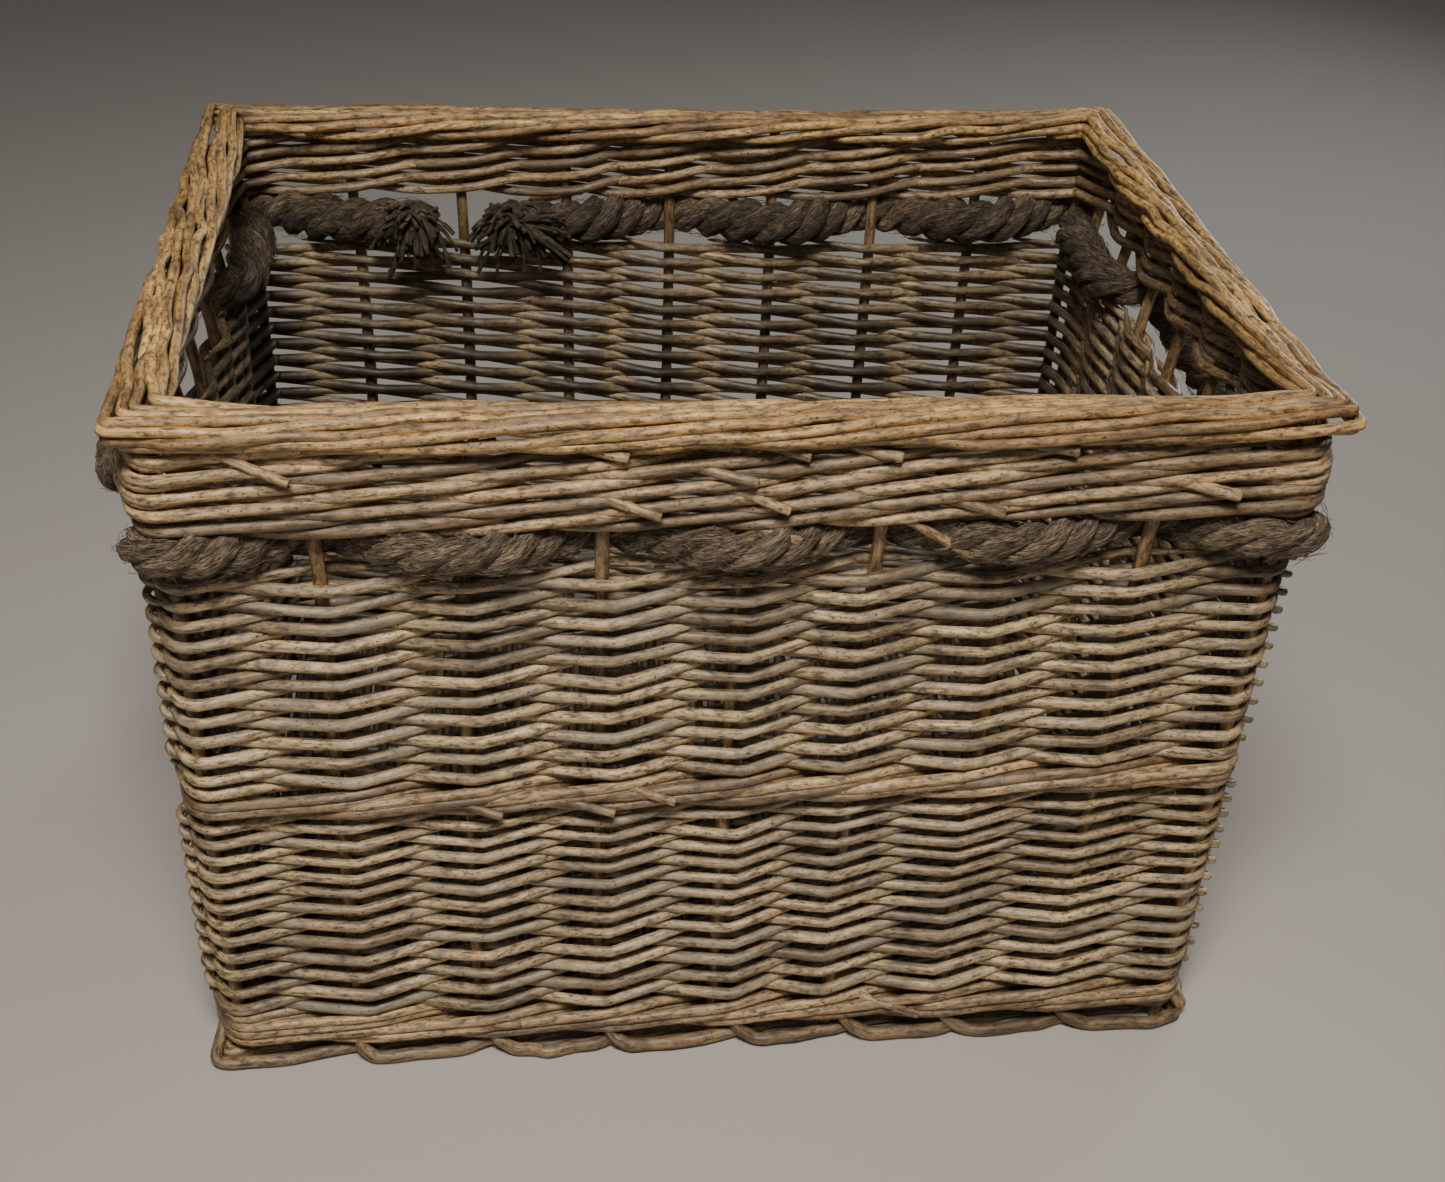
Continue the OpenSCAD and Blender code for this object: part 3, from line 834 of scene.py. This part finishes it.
def add_strands(b, i0, i1):
    """The strands between two samples of the rope line."""
    for k in range(ROPE_STRANDS):
        verts, grain = strand_rings(k, i0, i1, STRAND_SIDES)
        n = len(verts)
        quads, caps = tube_faces(n, STRAND_SIDES)
        b.add(warp(verts.reshape(-1, 3)), quads, caps, grain.reshape(-1, 3), 0.3 + 0.2 * k,
              np.zeros(n * STRAND_SIDES))


def add_hairs(b, i0, i1, reach):
    """Loose fibres lifting off the rope by up to about reach."""
    for _ in range(int((rope_s[i1] - rope_s[i0]) * HAIRS_PER_METRE)):
        i = int(rng.integers(i0 + 2, i1 - 2))
        a = rng.random() * TAU
        out = rope_side[i] * math.cos(a) + rope_up[i] * math.sin(a)
        sweep = rope_t[i] * rng.choice((-1, 1)) + np.cross(rope_t[i], out) * rng.normal(0, 0.6)
        sweep = unit(sweep)
        length = rng.uniform(4, 13) * MM
        lift = rng.uniform(0.1, 1.0) ** 2 * reach
        t = np.linspace(0, 1, 6)[:, None]
        p = rope_line[i] + out * (rope_r[i] * 0.9) + sweep * length * t
        p = p + out * (0.6 * MM + lift * np.sin(np.pi * t * rng.uniform(0.5, 1.0)))
        p = p + np.cross(sweep, out) * rng.normal(0, 1.5) * MM * np.sin(TAU * t)
        b.tube(warp(p), rng.uniform(0.1, 0.2) * MM, sides=3, step=3 * MM, turn=1.0, end="tip",
               start="tip", tone=rng.uniform(0.4, 1.4))


rope_pieces = {}
for piece, (i0, i1) in ROPE_SPANS.items():
    b = Builder()
    add_strands(b, i0, i1)
    handle = piece.endswith("handle_rope")
    add_hairs(b, i0, i1, (2.0 if handle else 2.6) * MM)
    rope_pieces[piece] = keep(b, piece + "_strands", ROPE_LOOK, [piece],
                              None if handle else "basket")

for side, name in ((-1, "left"), (1, "right")):
    i0, i1 = ROPE_SPANS[name + "_handle_rope"]
    obj = rope_pieces[name + "_handle_rope"]
    line = warp(rope_line[i0:i1 + 1])
    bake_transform(obj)


YARNS = 90
FAN_YARNS = 30
TAIL_RISE = 10 * MM


def tassel(tail, side):
    """The frayed end of the rope: its yarns burst out round the end and droop. The right one
    (side 1) is wider, and more of its yarns fan out towards +X."""
    b = Builder()
    lo, hi = low(tail), high(tail)
    top = (lo + hi) / 2
    top[2] = ROPE_Z + TAIL_RISE
    wide = 1.15 if side > 0 else 0.75

    def yarn(p, thickest):
        b.tube(warp(p), rng.uniform(0.9, thickest) * MM, sides=7, step=4 * MM,
               tone=rng.uniform(0, 0.5), rough=0.2)

    for _ in range(YARNS):
        a = rng.uniform(0, TAU)
        up = rng.uniform(-0.9, 0.9)
        aim = unit(np.array((math.cos(a) * wide, -abs(math.sin(a)) * 0.55 - 0.05, up)))
        start = top + aim * rng.uniform(1, 6) * MM
        length = rng.uniform(11, 24) * MM * (1.0 if up < 0.2 else 0.8)
        t = np.linspace(0, 1, 9)[:, None]
        sag = np.array((0, 0, -1.0)) * length * rng.uniform(0.25, 0.7)
        bow = np.cross(aim, (0.3, 1, 0.2)) * rng.normal(0, 3.5) * MM
        p = start + aim * length * t + sag * t * t + bow * np.sin(np.pi * t)
        p[:, 1] = np.minimum(p[:, 1], hi[1] + 2 * MM)
        yarn(p, 1.6)
    for _ in range(FAN_YARNS if side > 0 else 0):
        aim = np.array((1.0, rng.uniform(-0.5, -0.1), rng.uniform(-0.3, 0.55)))
        t = np.linspace(0, 1, 9)[:, None]
        length = rng.uniform(20, 36) * MM
        p = top + aim * length * t - np.array((0, 0, 1.0)) * length * rng.uniform(0, 0.5) * t * t
        p[:, 1] -= ROPE_LOOK_R * 0.8
        yarn(p, 1.5)
    return b


for tail, side in (("rope_tail_left", -1), ("rope_tail_right", 1)):
    keep(tassel(tail, side), tail + "_yarns", ROPE_LOOK, [tail])

# ---- stakes

STAKE_POINTS = 40
FL, FR, BR, BL = CORNERS.values()
STAKE_GROUPS = {
    "front_stakes": range(FL + 1, FR), "right_stakes": range(FR + 1, BR),
    "back_stakes": range(BR + 1, BL), "left_stakes": range(BL + 1, STAKES),
    **{"corner_stakes_" + name: [e] for name, e in CORNERS.items()},
}


def stake_line(x, y):
    z = np.linspace(STAKE_Z0, STAKE_Z1, STAKE_POINTS)
    return warp(lean(np.column_stack([np.full_like(z, x), np.full_like(z, y), z])))


for node, members in STAKE_GROUPS.items():
    b = Builder()
    for e in members:
        for x, y in STAKE_PLAN[e]:
            b.tube(stake_line(x, y), np.linspace(1.02, 0.9, STAKE_POINTS) * STAKE_R,
                   sides=10, step=8 * MM, ref=(1, 0, 0), rough=0.04)
    keep(b, node.replace("stakes", "stake_rods"), STAKE_LOOK, [node])

# ---- sidings

LOWER_ROWS = 24
UPPER_ROWS = 22
# lines through the weave have this many samples from one stake to the next
PER_STAKE = 50
# a rod starts this many rows below the band's foot, and ends this many below its top
ROD_START = 1.15
ROD_END = 0.45


def siding(node, rows, r_low, r_high, taper, dip, z0, z1):
    """Randed rods: one starts at each stake and climbs a row at each stake that it passes.
    Each dips where it bends round a stake. Gives back the height of row m as a function."""
    b = Builder()
    tall = z1 - z0

    def level(m):
        t = np.clip(m / rows, 0, 1)
        return z0 + tall * ((1 + taper) * t - taper * t * t)

    for j in range(STAKES):
        m = np.arange(-ROD_START, rows - ROD_END, 1 / PER_STAKE)
        t = np.clip(m / rows, 0, 1)
        size = rng.uniform(0.9, 1.1)
        r = (r_low + (r_high - r_low) * t) * size
        r = r * np.clip((rows - ROD_END - m) / 0.5, 0.4, 1)
        u = j + m + 0.02 * smooth_noise(len(m), rows, 1)
        lift = dip * np.clip((rows - 1.2 - m) / 2.5, 0, 1) * (np.abs(np.sin(np.pi * m / 2)) - 0.5)
        z = level(m + 0.5) + lift + smooth_noise(len(m), rows * 1.5, 0.45 * MM)
        z = np.maximum(z, z0 + r * 0.8)
        # outside one stake and inside the next, on a course between a wave and straight lines
        side = np.cos(np.pi * m)
        side = 0.25 * side + 0.75 * np.arcsin(side) * 2 / np.pi
        depth = (STAKE_R + r + 0.1 * MM) * side
        depth = depth + smooth_noise(len(m), rows * 2, 0.35 * MM)
        b.tube(PLAN.points(u, depth, z), r, sides=8, step=8 * MM, turn=0.16, rough=0.035,
               end="tip")
    keep(b, node + "_rods", SIDING_LOOK, [node])
    return level


lower_level = siding("lower_siding", LOWER_ROWS, 3.05 * MM, 2.4 * MM, 0.14, 2.8 * MM,
                     LOWER_Z, MIDDLE_Z)
upper_level = siding("upper_siding", UPPER_ROWS, 3.0 * MM, 2.75 * MM, 0.08, 1.6 * MM,
                     UPPER_Z, GAP_Z)

# ---- wales


def periodic(phase, period, knots):
    """A smooth periodic curve through (phase, value) knots that are evenly spaced."""
    values = np.array([v for _, v in knots])
    first = knots[0][0]
    n = len(values)
    x = np.mod(phase - first, period) / period * n
    i = np.floor(x).astype(int)
    t = x - i
    p0, p1, p2, p3 = (values[(i + k) % n] for k in (-1, 0, 1, 2))
    return 0.5 * (2 * p1 + (p2 - p0) * t + (2 * p0 - 5 * p1 + 4 * p2 - p3) * t * t
                  + (3 * p1 - p0 - 3 * p2 + p3) * t ** 3)


WALE_RODS = 3
WALE_SIDE = [(-1, -1), (-0.5, 0), (0, 1), (0.5, 1.02), (1, 1), (1.5, 0)]
WALE_HOP = [(-1, 0), (-0.5, -0.75), (0, -0.5), (0.5, 0.0), (1, 0.5), (1.5, 0.75)]


def wale(nodes, rounds, r, z0, z1, name):
    """Rods that each go outside two stakes and inside one, each over the others in turn."""
    b = Builder()
    step = (z1 - z0) / rounds
    for k in range(WALE_RODS):
        u = np.arange(k - 1.0, k + rounds * STAKES + 0.2, 1 / PER_STAKE)
        phase = np.mod(u - k + 1, WALE_RODS) - 1
        side = periodic(phase, WALE_RODS, WALE_SIDE)
        hop = periodic(phase, WALE_RODS, WALE_HOP)
        size = rng.uniform(0.95, 1.06) * (1 + smooth_noise(len(u), rounds * 8, 0.05))
        rr = r * size
        level = z0 + step * 0.5 + (z1 - z0 - step) * np.clip((u - k) / (STAKES * rounds), 0, 1)
        z = level + hop * step / 2 + smooth_noise(len(u), rounds * 30, 0.3 * MM)
        depth = (STAKE_R + rr) * side + smooth_noise(len(u), rounds * 30, 0.3 * MM)
        # one rod is about a metre long, and the next starts where it ends
        joints = np.arange(rng.uniform(6, 12), len(u) / PER_STAKE - 4, rng.uniform(15, 20))
        cuts = [0] + [int(c * PER_STAKE) for c in joints] + [len(u) - 1]
        pts = PLAN.points(u, depth, z)
        for c0, c1 in zip(cuts[:-1], cuts[1:]):
            b.tube(pts[c0:c1 + 1], rr[c0:c1 + 1], sides=9, rough=0.035)
    keep(b, name, WALE_LOOK, nodes)


wale(["bottom_wale_1", "bottom_wale_2"], 2, 2.8 * MM, BOTTOM_Z, LOWER_Z, "bottom_wale_rods")
wale(["middle_wale"], 1.5, 2.9 * MM, MIDDLE_Z, UPPER_Z, "middle_wale_rods")
wale(["upper_wale_1", "upper_wale_2", "upper_wale_3", "upper_wale_4"], 4, 2.8 * MM, WALE_Z,
     BORDER_Z + 2.4 * MM, "upper_wale_rods")

# ---- borders

# the rim is higher at its corners
CORNER_RISE = 2.5 * MM
CORNER_SPREAD = 24 * MM
# no border rod's middle lies further out than this
BORDER_REACH = 13.8 * MM


def square_points(u, depth, z, rise):
    """Like Plan.points, but round the borders' square corners, which rise a little."""
    p, _ = SQUARE.place(SQUARE.length(u))
    xy = p * (1 + np.column_stack([depth / MID_W, depth / MID_D]))
    off = np.hypot(MID_W - np.abs(p[:, 0]), MID_D - np.abs(p[:, 1]))
    z = z + rise * hump(off, CORNER_SPREAD)
    return warp(lean(relax(np.column_stack([xy, z]), 1, 1)))


def through(x, knots, column):
    """A smooth curve through one column of unevenly spaced knots, whose first column is x."""
    kx = np.array([k[0] for k in knots], float)
    ky = np.array([k[column] for k in knots], float)
    slope = np.gradient(ky, kx)
    i = np.clip(np.searchsorted(kx, x, side="right") - 1, 0, len(kx) - 2)
    h = kx[i + 1] - kx[i]
    t = np.clip((x - kx[i]) / h, 0, 1)
    a = (2 * t ** 3 - 3 * t ** 2 + 1) * ky[i] + (t ** 3 - 2 * t ** 2 + t) * h * slope[i]
    c = (-2 * t ** 3 + 3 * t ** 2) * ky[i + 1] + (t ** 3 - t ** 2) * h * slope[i + 1]
    return a + c


def border(node, name, knots, r, top, shift=0.0):
    """Border rods, one from each stake: knots give (stakes on, depth, height, size)."""
    look, slot = (BORDER_LOOK, "border_willow") if top else (WALE_LOOK, "wale_willow")
    z_base = BORDER_Z if top else 0.0
    g = np.arange(knots[0][0], knots[-1][0] + 0.001, 1 / PER_STAKE)
    b = Builder()
    for e in range(STAKES):
        size = through(g, knots, 3) * rng.uniform(0.93, 1.07)
        depth = through(g, knots, 1) * MM + smooth_noise(len(g), 12, 1.0 * MM)
        z = z_base + through(g, knots, 2) * MM
        z = z + smooth_noise(len(g), 12, (0.7 if top else 0.35) * MM)
        depth = np.minimum(depth, BORDER_REACH)
        u = e + shift + g + rng.normal(0, 0.06)
        rr = r * size
        if top:
            z = np.minimum(z, TOP_Z + 0.4 * MM - rr)
        else:
            z = np.maximum(z, rr + 0.2 * MM)
        b.tube(square_points(u, depth, z, CORNER_RISE if top else 0.0), rr, sides=10,
               step=8 * MM, end="tip" if top else "cut", rough=0.035)
    keep(b, name, look, [node])


# depth and height in millimetres, size as a share of the rod's radius
OUTER_KNOTS = [
    (-0.08, 0, -8, 0.95), (0.08, 4.0, -3.5, 1.0), (0.35, 9.5, 0.6, 1.0), (1.0, 11.8, 2.4, 1.0),
    (2.0, 13.2, 6.9, 1.0), (3.0, 10.2, 11.0, 1.0), (4.0, 5.0, 12.3, 0.95), (4.4, 3.0, 9.5, 0.85),
]
INNER_KNOTS = [
    (-0.15, 3.4, 9.5, 0.9), (0.2, 1.6, 11.8, 1.0), (1.0, -0.6, 12.5, 1.0), (2.0, -5.8, 11.0, 1.0),
    (3.0, -8.9, 6.4, 1.0), (3.5, -9.0, 3.2, 0.95), (3.9, -6.5, 1.0, 0.9), (4.1, -4.0, 0.5, 0.8),
]
FOOT_KNOTS = [
    (0.0, 0.0, 22.0, 0.95), (0.05, 4.0, 12.5, 1.0), (0.17, 8.2, 5.6, 1.0), (0.45, 9.4, 3.8, 1.0),
    (0.8, 7.5, 3.7, 1.0), (1.05, 3.0, 4.0, 1.0), (1.4, -1.5, 4.4, 0.95), (1.9, -4.5, 5.0, 0.9),
]
border("border_outer_rods", "border_outer_rod_set", OUTER_KNOTS, 2.65 * MM, True)
border("border_inner_rods", "border_inner_rod_set", INNER_KNOTS, 2.75 * MM, True, 0.35)
border("foot_border", "foot_border_rods", FOOT_KNOTS, 3.5 * MM, False)

# ---- corner binders

# its radius, and its course: mean depth from the wall's middle, and sway in and across
BINDER_R = 2.1 * MM
BINDER_DEPTH = 7.2 * MM
BINDER_IN = 4.4 * MM
BINDER_ACROSS = 3.6 * MM


def binder(node, e):
    """A thin rod wound down a corner, once round for each two rows."""
    b = Builder()
    for level, rows in ((lower_level, LOWER_ROWS), (upper_level, UPPER_ROWS)):
        m = np.arange(0.2, rows - 0.2, 2 / PER_STAKE)
        z = level(m + 0.5)
        turn = np.pi * m
        depth = BINDER_DEPTH + BINDER_IN * np.cos(turn)
        across = -BINDER_ACROSS * np.sin(turn)
        p, n = PLAN.place(PLAN.length(np.full(len(m), float(e))))
        out = unit(n.mean(0))
        along = np.array((-out[1], out[0]))
        xy = p.mean(0) + out * depth[:, None] + along * across[:, None]
        b.tube(warp(lean(np.column_stack([xy, z]))), BINDER_R, sides=8, step=5 * MM, turn=0.3,
               ref=(1, 0, 0), rough=0.04)
    keep(b, node.replace("binder", "binder_rod"), SIDING_LOOK, [node])


for name, e in CORNERS.items():
    binder("corner_binder_" + name, e)

# ---- base

BASE_LO, BASE_HI = low("base_weave"), high("base_weave")
STICK_LO, STICK_HI = low("base_sticks"), high("base_sticks")
BASE_STICKS = 7
BASE_ROWS = 86
STICK_POINTS = 30


def base():
    """Sticks along the base, and rods woven across them, each row crossing the last."""
    mid_z = (STICK_LO[2] + STICK_HI[2]) / 2
    stick_r = (STICK_HI[2] - STICK_LO[2]) / 2
    sticks = Builder()
    wide = 2 * BASE_HI[1] / BASE_STICKS
    ys = [(i + 0.5 - BASE_STICKS / 2) * wide for i in range(BASE_STICKS)]
    for y in ys:
        x = np.linspace(STICK_LO[0], STICK_HI[0], STICK_POINTS)
        p = np.column_stack([x, y + smooth_noise(STICK_POINTS, 6, 0.8 * MM),
                             np.full(STICK_POINTS, mid_z)])
        sticks.tube(p, stick_r * 0.97, sides=10, step=16 * MM, rough=0.05)
    keep(sticks, "base_stick_rods", BASE_LOOK, ["base_sticks"])
    weave = Builder()
    pitch = (BASE_HI[0] - BASE_LO[0]) / BASE_ROWS
    for row in range(BASE_ROWS):
        r = rng.uniform(2.4, 3.0) * MM
        y = np.arange(BASE_LO[1] + r, BASE_HI[1] - r, 1.2 * MM)
        sign = 1 if row % 2 else -1
        z = mid_z + sign * (stick_r + r) * np.cos(np.pi * y / wide)
        x = BASE_LO[0] + (row + 0.5) * pitch + smooth_noise(len(y), 8, 0.4 * MM)
        weave.tube(np.column_stack([x, y, z]), r, sides=7, step=12 * MM, turn=0.3, rough=0.04)
    keep(weave, "base_weave_rods", BASE_LOOK, ["base_weave"])


base()

# ---- cut ends left in the wales

# in the upper wale: (stake count, share of the band's height, length in mm, slope in degrees)
STUBS = [
    (0.55, 0.93, 25, -24), (2.9, 0.97, 14, -8), (3.05, 0.42, 20, -18), (3.75, 0.72, 17, -10),
    (4.0, 0.45, 20, -16), (4.2, 0.97, 16, -10), (4.1, 0.03, 22, -12), (5.0, 0.92, 13, -6),
    (5.45, 0.0, 24, -30), (5.75, 0.30, 14, -12), (6.2, 0.95, 16, -6), (1.65, 0.02, 18, -20),
    (7.3, 0.5, 14, -14), (9.6, 0.6, 16, -15), (11.2, 0.2, 18, -20), (12.9, 0.8, 15, -12),
    (15.7, 0.3, 18, -18), (17.4, 0.7, 15, -10), (19.2, 0.1, 20, -20), (20.6, 0.6, 15, -14),
    (23.8, 0.4, 17, -16), (25.3, 0.8, 15, -10), (26.6, 0.15, 18, -20),
]
# in the lower wales: (stake count, height in mm, length in mm)
LOW_STUBS = [
    (1.9, 173, 16), (2.7, 173, 20), (5.6, 26, 16), (3.3, 177, 12), (18.2, 173, 18),
    (24.4, 171, 15),
]
# about one stake to the next
BAY = 61 * MM


def stubs():
    """Rods' cut ends that come out between the others: each starts hidden in the weave."""
    b = Builder()
    for u, share, length, drop in STUBS:
        z = WALE_Z + share * (BORDER_Z - WALE_Z)
        t = np.linspace(0, 1, 12)
        hidden = 16 * MM
        reach = 0.75 * length * MM + hidden
        uu = u - hidden / BAY + t * reach / BAY
        depth = (2 + 9.5 * t ** 0.6) * MM
        zz = z + (t - 0.3) * reach * math.tan(math.radians(drop))
        b.tube(PLAN.points(uu, depth, zz), rng.uniform(2.3, 2.9) * MM, sides=10, step=6 * MM)
    for u, z, length in LOW_STUBS:
        t = np.linspace(0, 1, 12)
        hidden = 14 * MM
        reach = length * MM + hidden
        uu = u + (t * reach - hidden) / BAY
        zz = z * MM - t * reach * 0.2
        b.tube(PLAN.points(uu, (2 + 11 * t ** 0.7) * MM, zz), 2.3 * MM, sides=10, step=6 * MM)
    keep(b, "wale_cut_ends", WALE_LOOK, [])


stubs()

# ---- floor and light


def add_floor():
    mesh = bpy.data.meshes.new("floor")
    s = 6.0
    mesh.from_pydata([(-s, -s, 0), (s, -s, 0), (s, s, 0), (-s, s, 0)], [], [(0, 1, 2, 3)])
    floor = add_object("floor", mesh)
    g = Graph("floor_paint")
    flat = g.node("ShaderNodeNewGeometry").outputs["Normal"]
    mesh.materials.append(g.finish((0.46, 0.43, 0.39, 1), 0.9, flat))


def add_light(name, place, aim, size, watts, colour, spread=180):
    """A soft lamp at place, facing aim. Its spread is in degrees, and 180 is the widest."""
    data = bpy.data.lights.new(name, "AREA")
    data.shape = "RECTANGLE"
    data.size, data.size_y = size
    data.energy = watts
    data.color = colour
    data.spread = math.radians(spread)
    lamp = add_object(name, data)
    lamp.location = place
    lamp.rotation_mode = "QUATERNION"
    lamp.rotation_quaternion = (Vector(aim) - Vector(place)).to_track_quat("-Z", "Y")


add_floor()
# the key light comes from above the front, so the inside of the back wall stays dark
add_light("key", (-0.2, -1.25, 2.1), (-0.03, -0.3, 0.2), (0.7, 0.5), 10.2, (1.0, 0.95, 0.88), 80)
add_light("overhead", (0, 0.6, 3.2), (0, 0.6, 0), (4.0, 4.0), 14, (1.0, 0.98, 0.95))
add_light("back", (1.7, 1.9, 0.8), (0, 0.1, 0.2), (1.2, 0.8), 3.6, (0.97, 0.98, 1.0), 70)
add_light("fill", (-1.2, -2.2, 1.0), (0, 0, 0.2), (2.0, 1.5), 5, (0.95, 0.97, 1.0))
world = bpy.data.worlds.new("world")
world.use_nodes = True
sky = world.node_tree.nodes["Background"].inputs
sky["Color"].default_value = (0.9, 0.92, 1.0, 1)
sky["Strength"].default_value = 0.04
bpy.context.scene.world = world
